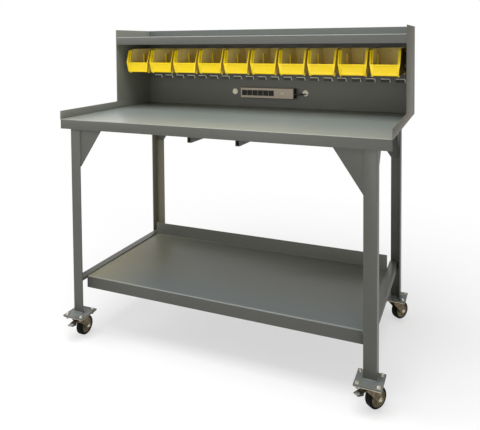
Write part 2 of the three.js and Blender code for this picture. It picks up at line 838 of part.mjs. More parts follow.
// Two round bushings close the cable holes. The right one is bored for the lead.
function bushing(place, boreHeight) {
  const front = panelFace - bushingFace;
  const profile = [
    [0, benchDepth],
    [bushingStem, benchDepth],
    [bushingStem, panelFace],
    [bushingRadius, panelFace],
    [bushingRadius, front + bushingChamfer],
    [bushingRadius - bushingChamfer, front],
    [bushingDish, front],
    [bushingDish - bushingChamfer, front + bushingDishDepth],
    [0, front + bushingDishDepth],
  ];
  const points = profile.map(([radius, y]) => new THREE.Vector2(radius, y)).reverse();
  const body = solid(new THREE.LatheGeometry(points, roundSegments).translate(place, 0, bushingHeight));
  if (boreHeight === null) return surface(body);
  return surface(cut(body, [rod(leadStart + leadStraight + leadBend, boreHeight, bushingBore,
    front - overrun, benchDepth + overrun, smallSegments)]));
}
piece('bushing_left', bushing(bushingPlaces[0], null), creamPlastic);
piece('bushing_right', bushing(bushingPlaces[1], leadHeight), creamPlastic);

// The finished bench stands on the ground plane, centred over the origin
const extent = new THREE.Box3().setFromObject(bench);
const centre = extent.getCenter(new THREE.Vector3());
for (const mesh of bench.children) {
  mesh.geometry.translate(-centre.x, -centre.y, -extent.min.z);
}

export default bench;
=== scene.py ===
# %% [markdown]
# # A mobile steel workbench
# The bench was first built as a solid model: bent sheets, angle legs, casters, hanging bins. We
# could model it all again in Blender, but then two models would have to agree. So the solid
# pieces are loaded as they are, in metres and in the model's own frame, and this lesson adds what
# they leave out: finishes, welds, small fasteners, a camera and soft light.

# %% Load the solid pieces
import json
import math
import bmesh
import bpy
from mathutils import Matrix, Vector


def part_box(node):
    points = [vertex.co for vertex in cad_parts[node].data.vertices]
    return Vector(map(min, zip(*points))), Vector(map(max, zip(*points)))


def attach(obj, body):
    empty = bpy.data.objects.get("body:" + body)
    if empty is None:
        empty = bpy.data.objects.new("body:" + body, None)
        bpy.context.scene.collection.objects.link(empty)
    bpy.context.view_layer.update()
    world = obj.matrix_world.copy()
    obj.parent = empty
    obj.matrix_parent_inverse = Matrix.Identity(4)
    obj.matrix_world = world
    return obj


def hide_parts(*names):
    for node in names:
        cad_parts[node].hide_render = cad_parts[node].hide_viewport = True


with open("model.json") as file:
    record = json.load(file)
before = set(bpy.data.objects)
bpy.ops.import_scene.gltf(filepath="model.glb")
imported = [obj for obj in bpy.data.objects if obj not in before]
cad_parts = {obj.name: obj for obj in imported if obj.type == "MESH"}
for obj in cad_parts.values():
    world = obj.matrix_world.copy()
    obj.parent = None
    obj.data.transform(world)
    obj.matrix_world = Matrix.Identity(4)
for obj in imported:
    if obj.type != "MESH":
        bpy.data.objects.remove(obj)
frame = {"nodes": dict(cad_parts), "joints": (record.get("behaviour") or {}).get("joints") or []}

solids = frame["nodes"]
joints = {joint["name"]: joint for joint in frame["joints"]}
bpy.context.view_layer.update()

# %% [markdown]
# # Where the camera stands
# A photograph is taken from one place, in one direction, with one lens. The camera could be
# pushed about by hand until the bench fits, but its nine numbers pull on each other. They were
# worked out instead from corners of the bench whose places are known. From the angles we make
# three arrows: ahead, to the right, and up.

# %% Place and direction
picture_width, picture_height = 480, 430
eye = Vector((1.0254, -2.3367, 1.3812))
turn_left, look_down, lean = 0.3956, 0.0387, -0.007

ahead = Vector((-math.sin(turn_left) * math.cos(look_down),
                math.cos(turn_left) * math.cos(look_down),
                -math.sin(look_down)))
level_right = Vector((math.cos(turn_left), math.sin(turn_left), 0))
level_up = level_right.cross(ahead)
right = math.cos(lean) * level_right + math.sin(lean) * level_up
up = math.cos(lean) * level_up - math.sin(lean) * level_right
print("the camera stands", round(eye.length, 2), "m from the middle of the bench's floor")

# %% [markdown]
# # The lens and its shift
# The uprights of the bench are parallel in the picture, so the camera looks almost level, and yet
# the bench fills the picture from top to bottom. Tilting the camera would make the uprights lean
# towards each other. So we use the camera's shift, which moves the picture and keeps them
# parallel.

# %% Make the camera
focal_pixels = 535.8
aim_pixel = (249.5, 63.7)
sensor_width = 36.0

camera_data = bpy.data.cameras.new("bench_camera")
camera = bpy.data.objects.new("bench_camera", camera_data)
bpy.context.scene.collection.objects.link(camera)
facing = Matrix((right, up, -ahead)).transposed().to_4x4()
camera.matrix_world = Matrix.Translation(eye) @ facing
camera_data.sensor_width = sensor_width
camera_data.lens = focal_pixels / picture_width * sensor_width
camera_data.shift_x = (picture_width / 2 - aim_pixel[0]) / picture_width
camera_data.shift_y = (aim_pixel[1] - picture_height / 2) / picture_width
bpy.context.scene.camera = camera
bpy.context.scene.view_settings.view_transform = "Standard"
print("lens in mm:", round(camera_data.lens, 2), "shift:", round(camera_data.shift_y, 3))

# %% [markdown]
# # Sums on a surface
# A finish varies over a surface: dust, grain, worn edges. In Blender each sum is a Math node.
# Wiring them by hand is slow to do and slower to read, so a small class wraps one socket and lets
# us write the sum in Python.

# %% A value that varies over a surface
class Varying:
    """One socket of a finish. Sums with it add Math nodes."""

    def __init__(self, nodes, socket):
        self.nodes = nodes
        self.socket = socket

    def sum(self, operation, first, second):
        return self.nodes.node("ShaderNodeMath", {"operation": operation}, {0: first, 1: second})

    def __add__(self, other):
        return self.sum("ADD", self, other)

    def __radd__(self, other):
        return self.sum("ADD", other, self)

    def __sub__(self, other):
        return self.sum("SUBTRACT", self, other)

    def __rsub__(self, other):
        return self.sum("SUBTRACT", other, self)

    def __mul__(self, other):
        return self.sum("MULTIPLY", self, other)

    def __rmul__(self, other):
        return self.sum("MULTIPLY", other, self)

    def at_least(self, lowest):
        return self.sum("MAXIMUM", self, lowest)


# %% [markdown]
# # Any other node
# Every other node comes from one method. It takes the node's type, its settings, and what goes
# into its sockets, either numbers or links. The settings come first, because some of them change
# which sockets a node has.

# %% The class that adds nodes
class Nodes:
    """A tree of nodes. node() adds one of any type, put() fills a socket."""

    def __init__(self, tree):
        self.tree = tree

    def node(self, kind, settings, values, output=0):
        made = self.tree.nodes.new(kind)
        for name, value in settings.items():
            setattr(made, name, value)
        for key, value in values.items():
            self.put(made.inputs[key], value)
        return Varying(self, made.outputs[output]) if made.outputs else None

    def put(self, socket, value):
        if isinstance(value, Varying):
            self.tree.links.new(value.socket, socket)
        else:
            socket.default_value = value


# %% [markdown]
# # A finish
# A finish is a material with one Principled shader, which can stand for paint, plastic, rubber
# and metal alike. Its patterns are measured in metres on the bench, not on an unwrapped sheet, so
# a speck has its real size on every piece.

# %% The finish class
class Finish(Nodes):
    """A material under construction. use() puts values on the shader, and gives the material."""

    def __init__(self, name):
        self.material = bpy.data.materials.new(name)
        self.material.use_nodes = True
        super().__init__(self.material.node_tree)
        self.shader = self.tree.nodes["Principled BSDF"]
        self.place = self.node("ShaderNodeTexCoord", {}, {}, "Object")

    def use(self, **values):
        for name, value in values.items():
            self.put(self.shader.inputs[name.replace("_", " ")], value)
        return self.material

    def noise(self, per_metre, detail=2.0, stretch=(1, 1, 1)):
        """Soft lumps, this many per metre, from 0 to 1. A stretch below 1 draws them out."""
        where = self.place
        if stretch != (1, 1, 1):
            where = self.node("ShaderNodeVectorMath", {"operation": "MULTIPLY"},
                              {0: where, 1: stretch})
        return self.node("ShaderNodeTexNoise", {},
                         {"Vector": where, "Scale": per_metre, "Detail": detail})

    def ramp(self, value, start, end):
        """0 at start, 1 at end, smooth between. start may be the larger one."""
        return self.node("ShaderNodeMapRange", {"interpolation_type": "SMOOTHSTEP"},
                         {"Value": value, "From Min": start, "From Max": end})

    def blend(self, share, first, second):
        """The first colour where share is 0, the second where it is 1."""
        return self.node("ShaderNodeMix", {"data_type": "RGBA"}, {0: share, 6: first, 7: second}, 2)

    def bump(self, height, distance, strength=0.5):
        return self.node("ShaderNodeBump", {},
                         {"Height": height, "Distance": distance, "Strength": strength})

    def axis(self, letter):
        """The position along one axis of the bench, in metres."""
        return self.node("ShaderNodeSeparateXYZ", {}, {"Vector": self.place}, letter)

    def facing_up(self):
        """1 on faces that look up, 0 on walls and undersides, smooth between."""
        outward = self.node("ShaderNodeNewGeometry", {}, {}, "Normal")
        rise = self.node("ShaderNodeSeparateXYZ", {}, {"Vector": outward}, "Z")
        return self.ramp(rise, 0.3, 0.9)

    def distance(self, point):
        """How far from a point of the bench, in metres."""
        return self.node("ShaderNodeVectorMath", {"operation": "DISTANCE"},
                         {0: self.place, 1: point}, "Value")


# %% [markdown]
# # Colours
# A screen's colours are three numbers from 0 to 255. A shader counts light instead, and the two
# aren't in proportion. We could type light values, but nobody can judge them by eye, so one
# function turns the one into the other.

# %% From a screen's colour to light
def colour(red, green, blue):
    def light(value):
        share = value / 255
        return share / 12.92 if share <= 0.04045 else ((share + 0.055) / 1.055) ** 2.4
    return (light(red), light(green), light(blue), 1.0)


def mixed(first, second, share):
    """Some of the second colour in the first, worked out here because neither varies."""
    return tuple(a + (b - a) * share for a, b in zip(first, second))


black = (0.0, 0.0, 0.0, 1.0)
warm_white = (1.0, 1.0, 0.94, 1.0)
top_light_white = (1.0, 1.0, 0.96, 1.0)
scuff_grey = (0.6, 0.6, 0.56, 1.0)
print("middle grey as light:", round(colour(128, 128, 128)[0], 3))

# %% [markdown]
# # Bench paint
# The steel is sprayed with a grey satin paint and baked. Close up, baked paint has a fine
# orange-peel surface, and from further off there are faint clouds where the coat is thicker.
# Faces that look up are painted paler, as painted light from above, and they are smoother than the
# walls. A flat grey would look like plastic, so colour, gloss and bump vary together. The room is
# also mirrored in the satin, warm on one side and cool on the other, and some faces lie in more
# light or shade than five soft lamps give. So a paint can have tinted stretches: painted light,
# painted shade and painted reflections.

# %% The painted steel
def bench_paint(name, base, top=None, gloss=0.36, scuffs=0.0, shine=0.3,
                top_painted_light=(), wall_painted_light=()):
    """top is the paler colour painted on faces that look up, as painted light from above. A tint is
    a stretch of painted light, shade or reflection: an axis, where the stretch starts, where it is
    full, its colour, and its share there."""
    paint = Finish(name)
    clouds = paint.noise(2.6, 3.0)
    specks = paint.noise(240.0, 2.0)
    peel = paint.noise(650.0, 1.0)
    share = 0.4 * clouds + 0.2 * specks

    # Each tinted stretch is painted light, painted shade or a painted reflection.
    def with_painted_light(shade, tints):
        for letter, start, full, tint, strength in tints:
            stretch = paint.ramp(paint.axis(letter), start, full)
            shade = paint.blend(strength * stretch, shade, tint)
        return shade

    shade = paint.blend(share, mixed(base, black, 0.12), mixed(base, warm_white, 0.04))
    shade = with_painted_light(shade, wall_painted_light)
    rough = gloss - 0.05 + 0.12 * clouds + 0.05 * specks
    if top:
        # pale, the top colour on faces that look up, is painted light from above.
        pale = paint.blend(share, mixed(top, black, 0.06), mixed(top, top_light_white, 0.04))
        lit_from_above = paint.facing_up()
        shade = paint.blend(lit_from_above, shade, with_painted_light(pale, top_painted_light))
        rough = rough + 0.14 * (1.0 - lit_from_above)
    if scuffs:
        streaks = paint.ramp(paint.noise(22.0, 5.0, (0.2, 1.0, 1.0)), 0.58, 0.8)
        rubbed = paint.ramp(paint.noise(2.2, 2.0), 0.35, 0.7)
        rough = rough + scuffs * (0.08 * streaks - 0.05 * rubbed)
        shade = paint.blend(scuffs * 0.12 * streaks, shade, mixed(base, scuff_grey, 0.3))
    return paint.use(Base_Color=shade, Roughness=rough, Specular_IOR_Level=shine,
                     Normal=paint.bump(peel + 0.3 * specks, 0.00012))


# %% [markdown]
# # The frame's paints
# The legs, gussets, rails and channels are one welded frame, sprayed in one go. Their greys could
# be one material. They are a handful, because the legs on the right get a darker grey as painted
# shade, where they face away from the light of the room, the rear left leg gets a warm paler grey
# as painted light, and the foot plates with their weld beads, which lie lowest, look a little
# bluer. The paler top colour of the legs and the foot plates is painted light on faces that look
# up.

# %% Mix the paints of the frame
frame_paint = bench_paint("grey_leg_paint", colour(71, 72, 66), colour(92, 93, 86))
# The right legs' darker grey is painted shade, the rear left leg's warm pale grey is painted light.
right_leg_shaded_paint = bench_paint("grey_right_leg_paint", colour(66, 67, 61))
rear_left_lit_paint = bench_paint("grey_rear_left_leg_paint", colour(112, 107, 88))
foot_paint = bench_paint("grey_foot_paint", colour(78, 81, 79), colour(102, 105, 102))
weld_paint = bench_paint("grey_weld_paint", colour(88, 94, 94), gloss=0.32)
print("paints:", [paint.name for paint in (frame_paint, right_leg_shaded_paint, rear_left_lit_paint,
                                          foot_paint, weld_paint)])

# %% [markdown]
# # The worktop and the lower shelf
# These two are the large flat faces, and the most used. One plain grey would do for both, but tools
# that slide along them leave long faint streaks, and each gets its own painted light. The worktop
# is painted paler towards the front, as painted light. The shelf is painted warm and pale at its
# left end as painted light, cooler at its front as a painted reflection, and paler at its back and
# on its rear lip as painted light, and its front bend gets a thin painted highlight.

# %% Mix the paints of the worktop and the lower shelf
worktop_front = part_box("worktop")[0].y
# The worktop's pale top colour and its paler front are painted light.
top_paint = bench_paint(
    "grey_worktop_paint", colour(72, 73, 67), colour(117, 124, 121), 0.3, 0.5,
    top_painted_light=[("Y", worktop_front + 0.34, worktop_front - 0.1, colour(156, 155, 141), 0.5)])

shelf_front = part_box("lower_shelf")[0].y
# The shelf's tints: painted light at the left end and the back, a painted reflection at the front,
# a painted highlight on the front bend, and painted light on the rear lip.
shelf_paint = bench_paint(
    "grey_shelf_paint", colour(64, 65, 59), colour(98, 100, 90), 0.36, 0.6,
    top_painted_light=[("Y", shelf_front + 0.3, shelf_front, colour(95, 102, 104), 0.7),
               ("X", -0.25, -0.8, colour(145, 137, 108), 0.8),
               ("Y", shelf_front + 0.3, shelf_front + 0.62, colour(112, 114, 102), 0.7),
               ("Y", shelf_front + 0.009, shelf_front + 0.004, colour(168, 172, 166), 0.35)],
    wall_painted_light=[("Y", shelf_front + 0.3, shelf_front + 0.5, colour(84, 85, 77), 1.0)])
print("front edges at y:", round(worktop_front, 3), round(shelf_front, 3))

# %% [markdown]
# # The riser's paints
# The riser is the upper part: two side plates, a panel between them, and a shelf on top. Its panel
# is painted darker towards the right, as painted shade where the plate keeps the light off, and
# paler above the shelf, as painted light where it stands free. The pale top of the riser shelf,
# strongest at the left, is a painted highlight on the bend of its lip. The two plates face opposite
# ways and get two paints of painted light and shade: the inside of the left one is painted pale and
# cool, the outside of the right one dull and warm.

# %% Mix the paints of the riser
riser_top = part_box("riser_shelf")[1].z
# The riser's pale top colour and its paler stretch at the left are a painted highlight.
riser_paint = bench_paint(
    "grey_riser_paint", colour(79, 80, 75), colour(138, 141, 138),
    top_painted_light=[("X", 0.2, -0.5, colour(160, 160, 160), 1.0)])
# The panel's darker right is painted shade, its paler top edge painted light.
panel_paint = bench_paint(
    "grey_panel_paint", colour(85, 86, 78), gloss=0.42,
    wall_painted_light=[("X", 0.25, 0.65, colour(77, 78, 70), 1.0),
                ("Z", riser_top - 0.02, riser_top, colour(88, 92, 88), 1.0)])
# The left plate's pale grey is painted light, the right plate's dull warm grey painted shade.
left_plate_lit_paint = bench_paint("grey_left_plate_paint", colour(124, 126, 117), gloss=0.4)
right_plate_shaded_paint = bench_paint("grey_right_plate_paint", colour(90, 86, 72),
                                gloss=0.44, shine=0.1)
print("paints:", [paint.name for paint in (riser_paint, panel_paint, left_plate_lit_paint,
                                          right_plate_shaded_paint)])

# %% [markdown]
# # Moulded plastics
# The power strip's end caps and its lead are black, its rocker is beige, the bushings are cream
# nylon, and the ribs in the bins are a clean yellow. A mould leaves a fine grain on plastic, and
# a trace of the way that it flowed. One function makes all four, because they differ only in
# colour and gloss.

# %% The plastics
def moulded(name, base, gloss):
    plastic = Finish(name)
    flow = plastic.noise(7.0, 2.0)
    texture = plastic.noise(500.0, 2.0)
    return plastic.use(Base_Color=plastic.blend(0.5 * flow, mixed(base, black, 0.06), base),
                       Roughness=gloss + 0.06 * flow + 0.06 * texture,
                       Normal=plastic.bump(texture, 0.00008))


black_plastic = moulded("black_plastic", colour(38, 37, 40), 0.42)
cream_plastic = moulded("cream_bushing_nylon", colour(228, 226, 202), 0.45)
rocker_plastic = moulded("beige_rocker_plastic", colour(198, 188, 166), 0.38)
rib_plastic = moulded("yellow_rib_plastic", colour(252, 226, 30), 0.4)
print("plastics:", [plastic.name for plastic in (black_plastic, cream_plastic, rocker_plastic,
                                                rib_plastic)])

# %% [markdown]
# # The bins' plastic
# The bins are yellow polypropylene. Their fronts keep a clean yellow, but behind the mouth, where a
# bin's walls lie in shade, they are painted a paler, greyer yellow: a painted shade tone, standing
# in for how yellow plastic looks in shade. We could paint the two zones by hand on each bin. But
# all ten have one shape and hang in one row, so the depth of a point behind the mouth tells where
# the painted tone begins. The mouth leans back above the lip and the front leans back below it, so
# the depth is measured from two slopes, in metres back for each metre up or down. The flare behind
# the mouth keeps the clean yellow, and so do the feet.

# %% Where the painted shade tone lies in a bin
bin_low, bin_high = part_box("bin_01")
lip_height = bin_high.z - 0.073
mouth_slope, front_lean, flare_depth = 0.375, 0.135, 0.016
foot_height = bin_low.z + 0.005

bin_finish = Finish("yellow_bin_plastic")
height = bin_finish.axis("Z")
above_lip = (height - lip_height).at_least(0.0)
below_lip = (lip_height - height).at_least(0.0)
depth = bin_finish.axis("Y") - bin_low.y - mouth_slope * above_lip - front_lean * below_lip
above_feet = bin_finish.ramp(height, foot_height, foot_height + 0.004)
behind_mouth = above_feet * bin_finish.ramp(depth, flare_depth, flare_depth + 0.004)
print("lip height in mm above a bin's bottom:", round(1000 * (lip_height - bin_low.z)))

# %% Mix the bins' plastic
shade_tone_patches = bin_finish.ramp(bin_finish.noise(26.0, 4.0, (1.0, 1.0, 0.3)), 0.25, 0.75)
waxy = bin_finish.noise(320.0, 2.0)
bin_flow = bin_finish.noise(7.0, 2.0)
clean_yellow = bin_finish.blend(0.4 * bin_flow, colour(234, 201, 0), colour(241, 209, 0))
# The paler, greyer yellow behind the mouth is painted shade tone for the bin's shaded walls.
painted_shade_yellow = bin_finish.blend(shade_tone_patches, colour(252, 232, 140), colour(240, 216, 140))
bin_plastic = bin_finish.use(
    Base_Color=bin_finish.blend(0.92 * behind_mouth, clean_yellow, painted_shade_yellow),
    Roughness=0.34 + 0.05 * waxy + 0.2 * behind_mouth,
    Specular_IOR_Level=0.35,
    Normal=bin_finish.bump(waxy, 0.00006))
print("nodes in the bins' plastic:", len(bin_finish.tree.nodes))

# %% [markdown]
# # The socket block
# Six sockets stand in one black block, with a beige frame round each one. The frames could be six
# more pieces, but they are the frontmost half millimetre of the solid. So one material serves,
# and the depth of a point tells which of the two colours it gets.

# %% Mix the socket block's two colours
block = Finish("socket_block")
block_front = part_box("socket_bar")[0].y
inside_block = block.ramp(block.axis("Y"), block_front + 0.0004, block_front + 0.0009)
block_grain = block.noise(500.0, 2.0)
socket_finish = block.use(
    Base_Color=block.blend(inside_block, colour(142, 131, 115), colour(38, 39, 37)),
    Roughness=0.5 + 0.08 * block_grain,
    Specular_IOR_Level=0.15,
    Normal=block.bump(block_grain, 0.00006))
print("socket block's front at y:", round(block_front, 4))

# %% [markdown]
# # Plated steel
# The casters are pressed steel with a thin zinc coat. It is never mirror bright: it has a brownish
# cast, cloudy patches and fine rolling marks. A plain grey metal would look like chrome, so every
# coat blends two colours. The forks' coat is the dullest, and its colour is also darkened as
# painted shade, for the forks and the nuts under the plates, which lie in shade; bolts and axles
# are the brightest. The louvres' rims get a nearly white painted highlight with the same patches,
# without the metallic shine.

# %% The plating
def plated(name, base, stain, gloss, patches=60.0, metallic=0.8):
    metal = Finish(name)
    clouds = metal.noise(patches, 3.0)
    marks = metal.noise(900.0, 2.0, (0.15, 1.0, 1.0))
    return metal.use(Base_Color=metal.blend(metal.ramp(clouds, 0.32, 0.7), base, stain),
                     Roughness=gloss + 0.18 * clouds + 0.06 * marks,
                     Metallic=metallic,
                     Normal=metal.bump(marks, 0.00005, 0.4))


# The forks' and the nuts' darker colour is partly painted shade.
shaded_fork_plating = plated("dull_shaded_fork_coat", colour(128, 115, 92), colour(86, 77, 60), 0.44)
plate_plating = plated("pale_plate_plating", colour(196, 188, 166), colour(160, 150, 128), 0.36)
bolt_plating = plated("bright_bolt_plating", colour(222, 219, 204), colour(178, 172, 154),
                      0.28, patches=90.0)
# The rims' near white is a painted highlight.
rim_highlight_coat = plated("painted_highlight_louvre_rim", colour(250, 251, 244), colour(232, 234, 226),
                   0.5, patches=25.0, metallic=0.0)
print("coats:", [coat.name for coat in (shaded_fork_plating, plate_plating, bolt_plating, rim_highlight_coat)])

# %% [markdown]
# # The power strip's enamel
# The strip's cover is folded steel with a beige hammered enamel: small dimples under a soft
# sheen. They are far too small and too many to model, and they never show in the outline, so a
# bump is enough.

# %% Mix the enamel
dimples_per_metre = 380.0
enamel = Finish("beige_strip_enamel")
dimples = enamel.noise(dimples_per_metre, 1.0)
strip_enamel = enamel.use(
    Base_Color=enamel.blend(0.5 * dimples, colour(157, 144, 126), colour(180, 168, 148)),
    Roughness=0.4 + 0.1 * dimples,
    Normal=enamel.bump(dimples, 0.0003, 0.6))
print("a dimple in mm:", round(1000 / dimples_per_metre, 1))

# %% [markdown]
# # Rubber and the wheels' cores
# The tyres are hard black rubber with scuffed, paler patches, and it hardly shines. They are
# pressed on a steel core, whose thin olive coat is stained brown where water stood on it.

# %% Mix the rubber and the core's coat
rubber = Finish("black_tyre_rubber")
scuffed = rubber.ramp(rubber.noise(70.0, 4.0), 0.45, 0.75)
tyre_rubber = rubber.use(
    Base_Color=rubber.blend(scuffed, colour(8, 8, 7), colour(20, 19, 17)),
    Roughness=0.55 + 0.25 * scuffed,
    Specular_IOR_Level=0.06,
    Normal=rubber.bump(rubber.noise(700.0, 2.0), 0.00015, 0.6))

core = Finish("olive_wheel_core")
stains = core.ramp(core.noise(55.0, 4.0), 0.3, 0.7)
core_enamel = core.use(
    Base_Color=core.blend(stains, colour(104, 93, 66), colour(72, 64, 46)),
    Roughness=0.42 + 0.15 * stains,
    Metallic=0.5 + 0.2 * stains,
    Normal=core.bump(core.noise(800.0, 2.0), 0.00006))
print("wheel finishes:", tyre_rubber.name, core_enamel.name)

# %% [markdown]
# # The brake pedals
# A pedal is one pressed piece. Its arm is plated and its pad is painted dark, and the middle of the
# pad's upper face is painted pale as a painted highlight. Two materials with a border along the
# faces would show every facet, so one material measures how far a point lies from the pedal's pivot
# and from the middle of its pad. The joint gives the pivot, the piece's own corners give the
# middle.

# %% The pedals' finish
pad_start = 0.029
pad_rim, pad_highlight_full = 0.0125, 0.0095


def pedal_finish(name, piece, pivot):
    """The pad is what lies further from the pivot than pad_start. All distances are in metres."""
    pedal = Finish(name)
    pad = [vertex.co for vertex in piece.data.vertices
           if (vertex.co - Vector(pivot)).length > pad_start]
    pad_middle = sum(pad, Vector()) / len(pad)
    on_pad = pedal.ramp(pedal.distance(pivot), pad_start - 0.002, pad_start + 0.002)
    inner = pedal.ramp(pedal.distance(pad_middle), pad_rim, pad_highlight_full)
    # The pale middle of the pad's upper face is a painted highlight.
    pad_highlight = inner * pedal.facing_up() * pedal.ramp(pedal.noise(90.0, 3.0), 0.1, 0.5)
    pad_shade = pedal.blend(pad_highlight, colour(34, 34, 32), colour(128, 129, 118))
    print(name, "corners on the pad:", len(pad))
    return pedal.use(Base_Color=pedal.blend(on_pad, colour(112, 100, 80), pad_shade),
                     Roughness=0.4 + 0.2 * on_pad,
                     Metallic=0.7 - 0.5 * on_pad,
                     Normal=pedal.bump(pedal.noise(800.0, 2.0), 0.00008))


# %% [markdown]
# # Rounded edges
# No edge of a bent sheet is razor sharp, and a rounded edge catches a line of light that tells
# the eye what the thing is made of. The meshes of the solid pieces stay as they are, so three
# modifiers do the rounding: the first joins doubled points, the second clears needless edges from
# flat faces, and the third cuts the bevel, with normals that keep the flats flat.

# %% Round the edges and wear a finish
doubled_within = 0.00001
flat_within, sharp_above = math.radians(0.5), math.radians(28)


def soften(piece, radius):
    piece.data.shade_smooth()
    weld = piece.modifiers.new("join_doubles", "WELD")
    weld.merge_threshold = doubled_within
    flatten = piece.modifiers.new("clear_flats", "DECIMATE")
    flatten.decimate_type = "DISSOLVE"
    flatten.angle_limit = flat_within
    bevel = piece.modifiers.new("round_edges", "BEVEL")
    bevel.width = radius
    bevel.segments = 2
    bevel.limit_method = "ANGLE"
    bevel.angle_limit = sharp_above
    bevel.harden_normals = True
    bevel.miter_outer = "MITER_ARC"


def wear(piece, finish, radius):
    piece.data.materials.clear()
    piece.data.materials.append(finish)
    if radius:
        soften(piece, radius)


# %% [markdown]
# # Who wears what
# Every solid piece gets its finish and its edge by the start of its name. A table is easier to
# check against the bench than a long row of questions in code. Rolled angles have the roundest
# edges, cut plates and thin sheets much finer ones. The louvred panel, the strip's cover and its
# sockets stay unrounded: their walls are too thin for a bevel. The brake pedals come in a cell of
# their own, because each needs its own pivot.

# %% Dress the solid pieces
unrounded = 0
fine_edge, cut_edge, moulded_edge = 0.0006, 0.0008, 0.0009
pressed_edge, rolled_edge = 0.0012, 0.0016
wardrobe = [
    (top_paint, fine_edge, "worktop"),
    (shelf_paint, fine_edge, "lower_shelf"),
    (riser_paint, fine_edge, "riser_shelf"),
    (panel_paint, unrounded, "riser_back_panel"),
    (left_plate_lit_paint, fine_edge, "side_plate_left"),
    (right_plate_shaded_paint, fine_edge, "side_plate_right"),
    (foot_paint, fine_edge, "leg_plate"),
    (frame_paint, rolled_edge, "leg_front_left", "shelf_rail"),
    (right_leg_shaded_paint, rolled_edge, "leg_front_right", "leg_rear_right"),
    (rear_left_lit_paint, rolled_edge, "leg_rear_left"),
    (frame_paint, cut_edge, "gusset", "side_gusset", "under_top_channel"),
    (plate_plating, cut_edge, "caster_plate"),
    (shaded_fork_plating, cut_edge, "caster_fork"),
    (bolt_plating, fine_edge, "caster_axle"),
    (tyre_rubber, fine_edge, "caster_wheel"),
    (bin_plastic, moulded_edge, "bin"),
    (strip_enamel, unrounded, "power_strip_cover"),
    (socket_finish, unrounded, "socket_bar"),
    (rocker_plastic, fine_edge, "switch_rocker"),
    (black_plastic, fine_edge, "strip_lead"),
    (cream_plastic, fine_edge, "bushing"),
]

for finish, radius, *starts in wardrobe:
    for name, piece in solids.items():
        if name.startswith(tuple(starts)):
            wear(piece, finish, radius)
dressed = [piece for piece in solids.values() if piece.data.materials]
print("dressed pieces:", len(dressed), "of", len(solids))

# %% Dress the brake pedals
for corner in ("front_left", "front_right"):
    pedal_piece = solids["brake_pedal_" + corner]
    pivot = joints["brake_press_" + corner]["pos_m"]
    wear(pedal_piece, pedal_finish("pedal_" + corner, pedal_piece, pivot), pressed_edge)
print("pedals with an edge of", 1000 * pressed_edge, "mm")

# %% [markdown]
# # Turned pieces
# Bolts, tyres, wheel cores and rivets are all round, or six-sided, about one axis. Each could
# start from Blender's cylinder, but a cylinder has no washer face, no chamfer and no hub. So we
# write down the profile, as a lathe would cut it, and spin it: six sides give a hexagon, many
# give a round piece.

# %% Spin a profile
def stitch(mesh, rings, closed=False):
    """Joins each ring of points to the next. The ends are capped, or joined to each other."""
    pairs = list(zip(rings, rings[1:]))
    if closed:
        pairs.append((rings[-1], rings[0]))
    for low, high in pairs:
        for k in range(len(low)):
            n = (k + 1) % len(low)
            mesh.faces.new((low[k], low[n], high[n], high[k]))
    if not closed:
        mesh.faces.new(tuple(reversed(rings[0])))
        mesh.faces.new(tuple(rings[-1]))


def turned(mesh, profile, place, sides, twist=0.0, closed=False):
    """Spins (radius, height) pairs round the Z axis of the matrix place."""
    rings = []
    for radius, height in profile:
        angles = [twist + 2 * math.pi * k / sides for k in range(sides)]
        rings.append([mesh.verts.new(place @ Vector((radius * math.cos(a), radius * math.sin(a),
                                                     height))) for a in angles])
    stitch(mesh, rings, closed)


# %% [markdown]
# # Drawn pieces
# A rolled rim, a bead and a lead are round sections pulled along a path. Blender's curves can do
# that too. Here the ring of points is pulled along by hand, so that every new piece is made the
# same way, and each point of the path has its own radius, which the ribbed sleeve needs.

# %% Pull a section along a path
def drawn(mesh, path, radii, sides):
    """radii has one radius for each point of path."""
    rings = []
    side = None
    for index, point in enumerate(path):
        ahead_of = path[min(index + 1, len(path) - 1)] - path[max(index - 1, 0)]
        along = ahead_of.normalized()
        side = (along.orthogonal() if side is None else side - along * side.dot(along)).normalized()
        other = along.cross(side)
        angles = [2 * math.pi * k / sides for k in range(sides)]
        rings.append([mesh.verts.new(point + radii[index] * (math.cos(a) * side
                                                            + math.sin(a) * other))
                      for a in angles])
    stitch(mesh, rings)


# %% [markdown]
# # From points to a piece of the bench
# A piece needs more than a mesh: a finish, shading that is smooth over round faces and crisp at
# corners, and a body of the model that it moves with. One function does this for every new piece,
# so none is left behind when a caster turns.

# %% Finish a new piece
def finished(mesh, name, finish, body, smooth=35.0):
    """smooth is the angle in degrees above which an edge between two faces stays crisp."""
    data = bpy.data.meshes.new(name)
    bmesh.ops.recalc_face_normals(mesh, faces=mesh.faces)
    mesh.to_mesh(data)
    mesh.free()
    data.shade_smooth()
    data.set_sharp_from_angle(angle=math.radians(smooth))
    piece = bpy.data.objects.new(name, data)
    bpy.context.scene.collection.objects.link(piece)
    data.materials.append(finish)
    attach(piece, body)
    return piece


# %% [markdown]
# # Plate bolts
# Each caster hangs from four eight-millimetre bolts. Above the foot plate there is a washer and a
# hexagon head, and below the caster's plate a nut with the bolt's end showing. The four bolts of
# a foot are one object, because they always move together. Nobody lines up hexagons with a
# spanner, so each bolt gets its own twist, which follows from its place.

# %% The profiles of a bolt
washer = [(0.0044, 0.0), (0.0077, 0.0), (0.0077, 0.0011), (0.0073, 0.0014), (0.0044, 0.0014)]
washer_top = washer[-1][1]
head = [(0.0067, 0.0), (0.0070, 0.0004), (0.0070, 0.0047), (0.0063, 0.0055), (0.0030, 0.0055)]
nut_height = 0.0065
nut = [(0.0066, -nut_height), (0.0075, -0.0058), (0.0075, -0.0006), (0.0070, 0.0)]

